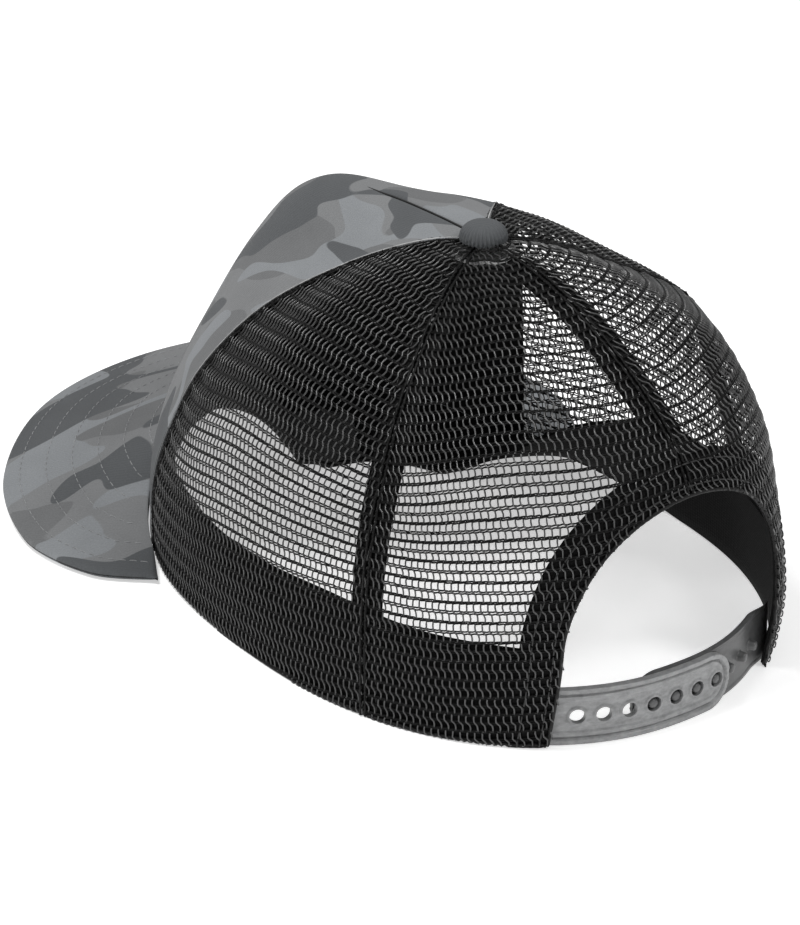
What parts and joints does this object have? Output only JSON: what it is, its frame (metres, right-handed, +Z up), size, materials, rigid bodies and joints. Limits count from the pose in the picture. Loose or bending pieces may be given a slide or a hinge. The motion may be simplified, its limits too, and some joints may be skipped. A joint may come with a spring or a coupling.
{
  "type": "trucker cap",
  "caption": "Trucker cap with a camouflage front panel and curved visor, black netting sides and back, a cloth-covered button and a snap strap under an arched rear opening.",
  "frame": {"origin": "centre of the head opening, in the plane the rim rests on", "axes": "+Z up, visor towards -Y, wearer's left towards +X"},
  "size_m": [0.1894, 0.277, 0.1173],
  "materials": {
    "camo_twill": "cotton twill printed with grey camouflage",
    "netting": "black polyester netting with open cells",
    "black_tape": "black seam tape",
    "stiff_lining": "black stiffened cloth",
    "sweatband_cloth": "black brushed cotton",
    "label_cloth": "plain woven label, no text",
    "visor_board": "dark plastic board",
    "button_metal": "plain pressed metal",
    "strap_plastic": "dark moulded plastic, half gloss"
  },
  "bodies": {
    "cap": {"front_panel": "camo_twill", "visor_top_fabric": "camo_twill", "visor_under_fabric": "camo_twill", "button_cover": "camo_twill", "side_mesh_left": "netting", "side_mesh_right": "netting", "rear_mesh_left": "netting", "rear_mesh_right": "netting", "dart_tape": "black_tape", "front_seam_tape_left": "black_tape", "front_seam_tape_right": "black_tape", "side_seam_tape_left": "black_tape", "side_seam_tape_right": "black_tape", "rear_seam_tape": "black_tape", "arch_binding": "black_tape", "front_lining": "stiff_lining", "sweatband": "sweatband_cloth", "size_label": "label_cloth", "visor_board": "visor_board", "button_shell": "button_metal", "button_washer": "button_metal", "strap_holes_root": "strap_plastic", "strap_pegs_root": "strap_plastic"},
    "holes_tongue": {"strap_holes_tongue": "strap_plastic"},
    "pegs_tongue": {"strap_pegs_tongue": "strap_plastic"}
  },
  "joints": [
    {"name": "holes_strap_open", "type": "hinge", "parent": "cap", "child": "holes_tongue", "pos_m": [0.02075, 0.10042, 0.0087], "axis": [0, 0, -1], "range_deg": [0, 65], "stiffness_Nm_per_rad": 0.02},
    {"name": "pegs_strap_open", "type": "hinge", "parent": "cap", "child": "pegs_tongue", "pos_m": [-0.03432, 0.09181, 0.0087], "axis": [0, 0, -1], "range_deg": [0, 50], "stiffness_Nm_per_rad": 0.02}
  ]
}
